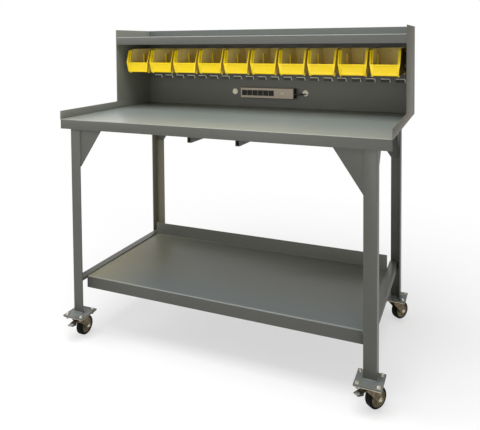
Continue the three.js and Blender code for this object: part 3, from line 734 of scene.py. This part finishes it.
thread_radius, thread_pitch, thread_length = 0.0040, 0.00125, 0.0040
thread = [(0.0030, -nut_height - thread_length)]
for turn in range(int(thread_length / thread_pitch), 0, -1):
    turn_start = -nut_height - turn * thread_pitch
    thread += [(thread_radius, turn_start + 0.0004), (thread_radius * 0.86, turn_start + 0.0010)]
thread.append((0.0034, -0.006))
print("a nut's width across flats in mm:", round(2000 * nut[1][0] * math.cos(math.pi / 6), 1))

# %% Bolt every foot
corner_names = ("front_left", "front_right", "rear_left", "rear_right")
bolt_spread = 0.0395
plate_thickness = 0.004
for corner in corner_names:
    foot_low, foot_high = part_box("leg_plate_" + corner)
    foot_middle = (foot_low + foot_high) / 2
    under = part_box("caster_plate_" + corner)[1].z - plate_thickness
    bolts = bmesh.new()
    nuts = bmesh.new()
    for side_x in (-1, 1):
        for side_y in (-1, 1):
            x = foot_middle.x + side_x * bolt_spread
            y = foot_middle.y + side_y * bolt_spread
            twist = 0.4 + side_x + 2.1 * side_y
            above = Matrix.Translation((x, y, foot_high.z))
            below = Matrix.Translation((x, y, under))
            turned(bolts, washer, above, 24)
            turned(bolts, [(radius, height + washer_top) for radius, height in head],
                   above, 6, twist)
            turned(nuts, nut, below, 6, twist + 0.3)
            turned(nuts, thread, below, 16)
    finished(bolts, "plate_bolts_" + corner, bolt_plating, "frame")
    finished(nuts, "plate_nuts_" + corner, shaded_fork_plating, "frame")
print("bolts per foot: 4, reach below the plate in mm:",
      round(1000 * (nut_height + thread_length), 1))

# %% [markdown]
# # Wheels
# The solid wheel is one simple disc, which is all that rolling needs. The real one has a rubber
# tyre with rounded shoulders on a steel core with a raised hub and a rolled rim. Both are turned
# round the wheel's own axle, which the model's joint gives, so they spin true. Half a profile is
# enough: a wheel's other half is its mirror image. The tyre takes the disc's place in the
# picture, and its shoulders stay inside the disc.

# %% Turn the tyres and the cores
def mirrored(half):
    """A profile whose other half is its mirror image."""
    return half + [(radius, -along) for radius, along in reversed(half)]


tyre_profile = mirrored([(0.0330, -0.0158), (0.0375, -0.0160), (0.0392, -0.0157),
                         (0.0407, -0.0142), (0.0420, -0.0127), (0.0428, -0.0111),
                         (0.0430, -0.0092), (0.0430, -0.0040)])
core_profile = mirrored([(0.0054, -0.0174), (0.0118, -0.0175), (0.0127, -0.0170),
                         (0.0131, -0.0160), (0.0132, -0.0140), (0.0140, -0.0129),
                         (0.0220, -0.0126), (0.0290, -0.0129), (0.0306, -0.0137),
                         (0.0316, -0.0151), (0.0330, -0.0156)])
for corner in corner_names:
    spin_joint = joints["wheel_spin_" + corner]
    axle = Vector(spin_joint["axis"]).normalized()
    to_axle = axle.to_track_quat("Z", "Y").to_matrix().to_4x4()
    place = Matrix.Translation(spin_joint["pos_m"]) @ to_axle
    tyre = bmesh.new()
    turned(tyre, tyre_profile, place, 96, closed=True)
    tyre_piece = finished(tyre, "tyre_" + corner, tyre_rubber, "wheel_" + corner)
    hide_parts("caster_wheel_" + corner)
    wheel_core = bmesh.new()
    turned(wheel_core, core_profile, place, 72, closed=True)
    finished(wheel_core, "wheel_core_" + corner, core_enamel, "wheel_" + corner)
print("wheel diameter in mm:", round(2000 * max(radius for radius, _ in tyre_profile)))

# %% [markdown]
# # Kingpins
# The kingpin is the rivet that holds a fork to its ball race. Its head shows under the fork's
# crown, above the wheel. It is a domed disc, so it is turned as well, and it rides on the fork.

# %% Turn the kingpins
kingpin_profile = [(0.0105, 0.0), (0.0105, -0.0015), (0.0092, -0.0042), (0.0060, -0.0062),
                   (0.0020, -0.0068)]
crown_thickness = 0.004
for corner in corner_names:
    crown_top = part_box("caster_fork_" + corner)[1].z
    pivot = Vector(joints["swivel_" + corner]["pos_m"])
    under_crown = Matrix.Translation((pivot.x, pivot.y, crown_top - crown_thickness))
    kingpin = bmesh.new()
    turned(kingpin, kingpin_profile, under_crown, 32)
    finished(kingpin, "kingpin_" + corner, bolt_plating, "caster_" + corner)
print("kingpin head in mm:", round(2000 * kingpin_profile[0][0]), "wide")

# %% [markdown]
# # Weld beads
# A fillet weld fills the corner between two faces with a row of small scales. A bump could
# suggest the scales, but not the bead's own outline, and a frame without welds looks glued. So
# each bead is a row of five-sided rings of changing size. We give the corner's line, the two
# directions that lead away from it along the faces, and how far the bead reaches. It tapers at
# its ends, where the welder starts and stops.

# %% Lay one weld bead
scale_step = 0.0011
bead_section = [(-0.12, -0.12), (1.0, -0.05), (0.84, 0.42), (0.42, 0.84), (-0.05, 1.0)]


def weld_bead(mesh, start, end, toward, other, reach):
    count = max(6, int((end - start).length / scale_step))
    rings = []
    for step in range(count + 1):
        taper = min(1.0, 0.45 + 0.18 * min(step, count - step))
        ripple = (0.9 if step % 2 else 1.0) + 0.05 * math.sin(1.9 * step)
        size = reach * taper * ripple
        middle = start.lerp(end, step / count)
        rings.append([mesh.verts.new(middle + size * (a * toward + b * other))
                      for a, b in bead_section])
    stitch(mesh, rings)


# %% [markdown]
# # Welds round the legs' feet
# Each leg is welded to its foot plate along its two outer faces. The places aren't measured
# again: they follow from the leg's box. The four corners of the bench mirror each other, so one
# helper serves, with a sign for left or right and one for front or rear.

# %% Weld the legs to their foot plates
up_axis = Vector((0, 0, 1))
foot_reach, frame_reach, stitch_reach = 0.006, 0.0038, 0.0036


def leg_lines(corner):
    """The two signs, the leg's outer and inner x, and the y of its front and its far edge."""
    leg_low, leg_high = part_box("leg_" + corner)
    side = 1 if corner.endswith("right") else -1
    inward = 1 if corner.startswith("front") else -1
    outer_x, inner_x = (leg_high.x, leg_low.x) if side > 0 else (leg_low.x, leg_high.x)
    face_y, far_y = (leg_low.y, leg_high.y) if inward > 0 else (leg_high.y, leg_low.y)
    return side, inward, outer_x, inner_x, face_y, far_y


foot_welds = bmesh.new()
for corner in corner_names:
    side, inward, outer_x, inner_x, face_y, far_y = leg_lines(corner)
    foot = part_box("leg_" + corner)[0].z
    foot_corner = Vector((outer_x, face_y, foot))
    weld_bead(foot_welds, Vector((inner_x, face_y, foot)), foot_corner,
              Vector((0, -inward, 0)), up_axis, foot_reach)
    weld_bead(foot_welds, foot_corner, Vector((outer_x, far_y, foot)),
              Vector((side, 0, 0)), up_axis, foot_reach)
print("faces of the foot welds:", len(foot_welds.faces))
finished(foot_welds, "foot_weld_beads", weld_paint, "frame", 60.0)

# %% [markdown]
# # Welds of the gussets
# A gusset is a triangle of plate that keeps a leg square to the worktop. Each leg has one along
# the bench's front or rear and one along its side. Each is welded to its leg and to the worktop's
# underside, on the face that a welder can reach, and the beads stop short of the plate's thin
# tips, which would burn away.

# %% Weld the gussets
top_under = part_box("leg_front_left")[1].z
above_tip, short_of_tip = 0.012, 0.006
welds = bmesh.new()
for corner in corner_names:
    side, inward, _, inner_x, _, far_y = leg_lines(corner)
    to_outside, to_front = Vector((side, 0, 0)), Vector((0, -inward, 0))

    gusset_low, gusset_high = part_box("gusset_" + corner)
    near_y, back_y = gusset_low.y, gusset_high.y
    if inward < 0:
        near_y, back_y = back_y, near_y
    tip_x = gusset_low.x if side > 0 else gusset_high.x
    weld_bead(welds, Vector((inner_x, near_y, gusset_low.z + above_tip)),
              Vector((inner_x, near_y, top_under)), -to_outside, to_front, frame_reach)
    weld_bead(welds, Vector((inner_x, back_y, top_under)),
              Vector((tip_x + side * short_of_tip, back_y, top_under)),
              -to_front, -up_axis, frame_reach)

    side_low, side_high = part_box("side_gusset_" + corner)
    plate_x, hidden_x = side_high.x, side_low.x
    if side < 0:
        plate_x, hidden_x = hidden_x, plate_x
    tip_y = side_high.y if inward > 0 else side_low.y
    weld_bead(welds, Vector((plate_x, far_y, side_low.z + above_tip)),
              Vector((plate_x, far_y, top_under)), -to_front, to_outside, frame_reach)
    weld_bead(welds, Vector((hidden_x, far_y, top_under)),
              Vector((hidden_x, tip_y + short_of_tip * to_front.y, top_under)),
              -to_outside, -up_axis, frame_reach)
print("faces of the gussets' welds:", len(welds.faces))

# %% [markdown]
# # Welds of the shelf and the channels
# The shelf's side rails are welded to the legs. The shelf itself is only stitched to its rails,
# and the two channels to the worktop's underside: short beads with gaps, because a full weld
# would pull a thin sheet out of shape.

# %% Stitch the shelf and the channels
angle_wall = 0.00475
shelf_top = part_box("shelf_rail_right")[1].z - angle_wall
shelf_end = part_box("lower_shelf")[1].y - 0.03
half_stitch = Vector((0, 0.02, 0))


def middles(low, high, count):
    """The middles of so many equal lengths of a piece, from its front to its rear."""
    return [low.y + (index + 0.5) / count * (high.y - low.y) for index in range(count)]


for name, side in (("left", -1), ("right", 1)):
    rail_low, rail_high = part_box("shelf_rail_" + name)
    outer_x, inner_x = (rail_high.x, rail_low.x) if side > 0 else (rail_low.x, rail_high.x)
    to_outside = Vector((side, 0, 0))
    for end_y, inward in ((rail_low.y, 1), (rail_high.y, -1)):
        weld_bead(welds, Vector((outer_x, end_y, rail_low.z + 0.004)),
                  Vector((outer_x, end_y, rail_high.z - 0.002)),
                  to_outside, Vector((0, inward, 0)), frame_reach)
    for middle_y in middles(rail_low, rail_high, 5):
        if middle_y < shelf_end:
            spot = Vector((inner_x, middle_y, shelf_top))
            weld_bead(welds, spot - half_stitch, spot + half_stitch,
                      -to_outside, up_axis, stitch_reach)
for number in (1, 2):
    low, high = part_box(f"under_top_channel_{number}")
    for middle_y in middles(low, high, 4):
        for x, away in ((low.x, -1), (high.x, 1)):
            spot = Vector((x, middle_y, top_under))
            weld_bead(welds, spot - half_stitch, spot + half_stitch,
                      Vector((away, 0, 0)), -up_axis, stitch_reach)
print("faces of the frame's welds:", len(welds.faces))
finished(welds, "weld_beads", frame_paint, "frame", 60.0)

# %% [markdown]
# # Louvre rims
# The louvres are pressed out of the panel, and the sheet is rolled where it tears. Every louvre
# gets a bright line along its top and down its right end, where the light catches it: a painted
# highlight, nearly white. A brighter colour near the edge would be the quick way, but the edge also
# stands proud. So the line is a thin drawn rim: along the top, round a small corner, then down to
# the panel.

# %% Roll the louvres' rims
panel_low, panel_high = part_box("riser_back_panel")
panel_face = panel_high.y - 0.00275
louvre_reach, louvre_drop, louvre_width = 0.008, 0.018, 0.046
louvre_pitch, row_pitch, first_row = 0.07325, 0.07625, panel_high.z - 0.106
columns, rows = 20, 3
rim_radius, rim_inset, rim_corner = 0.0024, 0.0006, 0.0016

# Each rim is a painted highlight, drawn only where the light catches the louvre.
rim_highlights = bmesh.new()
for row in range(rows):
    top = first_row - row * row_pitch
    for column in range(columns):
        middle_x = (column - (columns - 1) / 2) * louvre_pitch
        left_x, right_x = middle_x - louvre_width / 2, middle_x + louvre_width / 2
        front_y, end_y = panel_face - louvre_reach + rim_inset, panel_face - 0.0005
        corners = [Vector((left_x + rim_inset, front_y, top - 0.0004)),
                   Vector((right_x - rim_corner, front_y, top - 0.0004)),
                   Vector((right_x - rim_inset, front_y, top - rim_corner)),
                   Vector((right_x - rim_inset, end_y, top - louvre_drop + 0.001))]
        drawn(rim_highlights, corners, [rim_radius] * len(corners), 8)
finished(rim_highlights, "louvre_rim_highlights", rim_highlight_coat, "frame", 60.0)
print("louvres:", rows * columns)

# %% [markdown]
# # Ribs and beads of the bins
# Halfway back on each of a bin's side walls stands a rib that a divider slides against. Where the
# wall begins to flare out to the mouth, a thin bead stiffens it. From the front both are thin
# bright lines, because they keep the clean yellow, without the painted shade tone of the walls. All
# ten bins are alike, so each place is given from the bin's own middle, front and rim.

# %% Add the ribs and the beads to the bins' walls
rib_depth, rib_height, rib_reach, rib_thickness = 0.148, 0.092, 0.0080, 0.0060
rib_foot = 0.120
wall_at_foot, wall_at_top = 0.0553, 0.0592
bead_radius = 0.0022
bead_ends = ((0.0567, 0.0150, 0.079), (0.0592, 0.0390, 0.010))

for number in range(1, 11):
    low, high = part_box(f"bin_{number:02d}")
    middle_x = (low.x + high.x) / 2
    front, foot = low.y + rib_depth, high.z - rib_foot
    ribs_of_bin = bmesh.new()
    for side in (-1, 1):
        rings = []
        for height, wall in ((foot, wall_at_foot), (foot + rib_height, wall_at_top)):
            outer, inner = middle_x + side * wall, middle_x + side * (wall - rib_reach)
            outline = ((outer, front), (inner, front), (inner, front + rib_thickness),
                       (outer, front + rib_thickness))
            rings.append([ribs_of_bin.verts.new((x, y, height)) for x, y in outline])
        stitch(ribs_of_bin, rings)
        bead = [Vector((middle_x + side * wall, low.y + back, high.z - below_rim))
                for wall, back, below_rim in bead_ends]
        drawn(ribs_of_bin, bead, [bead_radius] * 2, 10)
    finished(ribs_of_bin, f"bin_ribs_{number:02d}", rib_plastic, f"bin_{number:02d}")
print("bins with ribs:", number)

# %% [markdown]
# # The power strip's end caps
# The strip's folded cover is open at both ends, and a black moulded cap closes each. Only the
# flange of a cap shows, thin on the left and thicker on the right, where the lead leaves. A
# flange is a flat block with rounded edges: a cube, stretched and bevelled on all sides.

# %% Cap the strip
strip_low, strip_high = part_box("power_strip_cover")
strip_middle, strip_size = (strip_low + strip_high) / 2, strip_high - strip_low
caps = bmesh.new()
for x, away, reach in ((strip_low.x, -1, 0.0014), (strip_high.x, 1, 0.0040)):
    for corner_point in bmesh.ops.create_cube(caps, size=1.0)["verts"]:
        across, back, rise = corner_point.co
        corner_point.co = Vector((x + away * (across + 0.5) * reach,
                                  strip_middle.y + back * strip_size.y,
                                  strip_middle.z + rise * (strip_size.z + 0.001)))
bmesh.ops.bevel(caps, geom=caps.edges[:], offset=0.0006, segments=3, profile=0.5, affect="EDGES")
finished(caps, "strip_end_caps", black_plastic, "frame")
print("strip length in mm:", round(1000 * strip_size.x))

# %% [markdown]
# # The lead
# The lead leaves the right-hand cap straight, bends back with a radius of four times its
# thickness, as a stiff lead does, and goes into the bushing beside it. A curve with a
# thickness would do. A drawn tube follows the same points that the solid lead follows, and
# closes its own ends.

# %% Draw the lead
lead_height = strip_middle.z - 0.004
lead_y = panel_high.y - 0.034
lead_radius, lead_bend, lead_straight = 0.004, 0.032, 0.0225
bend_start = strip_high.x + lead_straight
route = [Vector((strip_high.x + lead_straight * k / 6, lead_y, lead_height)) for k in range(6)]
for k in range(13):
    turn = math.pi / 2 * k / 12
    route.append(Vector((bend_start + lead_bend * math.sin(turn),
                         lead_y + lead_bend * (1 - math.cos(turn)), lead_height)))
lead = bmesh.new()
drawn(lead, route, [lead_radius] * len(route), 16)
lead_piece = finished(lead, "strip_lead_ribbed", black_plastic, "frame")
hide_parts("strip_lead")
print("points of the lead's route:", len(route))

# %% [markdown]
# # The ribbed sleeve and the collar
# A ribbed sleeve keeps the lead from kinking where it leaves the strip. It tapers, and seven
# shallow grooves make it bend easily: four points for each rib, two of them lower. In the
# bushing a flat oval collar closes the gap round the lead. It is turned like a washer, in a
# place that is squeezed more in height than in width.

ribs = 7
sleeve_start, sleeve_length, sleeve_radius = 0.002, 0.02, 0.0065
groove_depth = 0.0007
sleeve_end_radius = lead_radius + 0.0003
sleeve = bmesh.new()
sleeve_path, sleeve_radii = [], []
for k in range(4 * ribs + 1):
    share = k / (4 * ribs)
    along = sleeve_start + (sleeve_length - sleeve_start) * share
    sleeve_path.append(Vector((strip_high.x + along, lead_y, lead_height)))
    groove = groove_depth if k % 4 in (2, 3) and k < 4 * ribs - 1 else 0.0
    sleeve_radii.append(sleeve_radius + (sleeve_end_radius - sleeve_radius) * share - groove)
drawn(sleeve, sleeve_path, sleeve_radii, 20)
sleeve_piece = finished(sleeve, "lead_sleeve", black_plastic, "frame")

lead_length = sum((b - a).length for a, b in zip(route, route[1:]))
print("lead length in mm:", round(1000 * lead_length, 1))

# %% Close the bushing with a collar
collar_profile = [(0.9, 0.0), (1.0, 0.0004), (1.0, 0.0018), (0.8, 0.0024)]
collar_half_width, collar_half_height = 0.0118, 0.0034
bushing_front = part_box("bushing_right")[0].y
collar_middle = Vector((route[-1].x, bushing_front + 0.0004, lead_height))
facing_front = Matrix.Translation(collar_middle) @ Matrix.Rotation(math.pi / 2, 4, "X")
oval = facing_front @ Matrix.Diagonal((collar_half_width, collar_half_height, 1.0, 1.0))
collar = bmesh.new()
turned(collar, collar_profile, oval, 32)
finished(collar, "lead_collar", black_plastic, "frame")
print("collar in mm:", round(2000 * collar_half_width), "by", round(2000 * collar_half_height))

# %% [markdown]
# # White that only the camera sees
# The bench stands in front of plain white. A white room full of light would give that, but it
# would also wash out the bench. So the white is given to what looks straight at it: the camera, a
# reflection, or a view through glass. Light that bounces gets much less.

# %% What looks straight at the background
def seen_directly(nodes):
    """1 for the camera, a reflection or a view through glass, 0 for light that bounces."""
    camera_ray, mirror_ray, glass_ray = [
        nodes.node("ShaderNodeLightPath", {}, {}, name)
        for name in ("Is Camera Ray", "Is Glossy Ray", "Is Transmission Ray")]
    return camera_ray + mirror_ray + glass_ray


# %% [markdown]
# # The floor
# The floor is a pale matt sheet that takes the bench's soft shadow. If all of it were lit
# normally, its far edge would draw a horizon. So plain white is mixed in, a little more than half
# near the bench and all of it further out.

# %% Lay the floor
floor_mesh = bmesh.new()
bmesh.ops.create_grid(floor_mesh, x_segments=1, y_segments=1, size=30.0)
floor_data = bpy.data.meshes.new("floor")
floor_mesh.to_mesh(floor_data)
floor_mesh.free()
floor = bpy.data.objects.new("floor", floor_data)
bpy.context.scene.collection.objects.link(floor)

floor_finish = Finish("pale_floor")
floor_finish.use(Base_Color=(0.88, 0.88, 0.88, 1), Roughness=0.9)
white_near, fade_start, fade_end = 0.55, 0.8, 2.6
from_bench = floor_finish.distance((0.0, 0.0, 0.0))
white_share = white_near + (1.0 - white_near) * floor_finish.ramp(from_bench, fade_start, fade_end)
glow = floor_finish.node("ShaderNodeEmission", {}, {"Color": (1, 1, 1, 1), "Strength": 1.0})
lit = Varying(floor_finish, floor_finish.shader.outputs[0])
both = floor_finish.node("ShaderNodeMixShader", {},
                         {0: white_share * seen_directly(floor_finish), 1: lit, 2: glow})
floor_finish.put(floor_finish.tree.nodes["Material Output"].inputs["Surface"], both)
floor_data.materials.append(floor_finish.material)
print("the floor is all white from", fade_end, "m on")

# %% [markdown]
# # The air around the bench
# Light comes to a real bench from all round, and fills what no lamp reaches. The world's
# colour does the same here: full white where it is seen directly, and about a third of that
# for the light that it gives.

# %% Fill the world
ambient = 0.35
world = bpy.data.worlds.new("studio")
bpy.context.scene.world = world
world.use_nodes = True
air = Nodes(world.node_tree)
air.tree.nodes.clear()
strength = ambient + (1.0 - ambient) * seen_directly(air)
sky = air.node("ShaderNodeBackground", {}, {"Color": (1, 1, 1, 1), "Strength": strength})
air.node("ShaderNodeOutputWorld", {}, {"Surface": sky})
print("ambient light:", ambient)

# %% [markdown]
# # Five softboxes
# A small lamp gives hard shadows and bright spots on satin paint. A softbox is a wide lamp, and
# what it lights fades gently. The largest hangs overhead, two stand in front and two at the
# sides, and the left ones are stronger. Trying powers by hand takes long, because every lamp
# changes every face. But light adds up: the bench was rendered with each lamp alone, and sums of
# those pictures showed which powers come closest.

# %% Hang the softboxes
def softbox(name, place, target, width, height, power):
    """A rectangular lamp at place, aimed at target. Its size is in metres, its power in watts."""
    data = bpy.data.lights.new(name, "AREA")
    data.shape = "RECTANGLE"
    data.size, data.size_y = width, height
    data.energy = power
    lamp = bpy.data.objects.new(name, data)
    bpy.context.scene.collection.objects.link(lamp)
    lamp.location = place
    lamp.rotation_mode = "QUATERNION"
    lamp.rotation_quaternion = (Vector(target) - Vector(place)).to_track_quat("-Z", "Y")


middle_of_bench = (0.0, 0.0, 0.9)
softbox("overhead_softbox", (0.0, -0.9, 4.2), (0.0, 0.0, 0.8), 3.4, 2.6, 166.0)
softbox("front_softbox", (-0.8, -4.6, 1.5), middle_of_bench, 2.6, 2.0, 70.0)
softbox("front_right_softbox", (1.8, -4.3, 1.3), middle_of_bench, 2.0, 1.8, 22.0)
softbox("left_softbox", (-4.2, -1.2, 2.4), middle_of_bench, 2.0, 2.2, 70.0)
softbox("right_softbox", (4.2, -0.8, 2.2), middle_of_bench, 2.0, 2.2, 8.0)
print("light in watts:", sum(lamp.energy for lamp in bpy.data.lights))
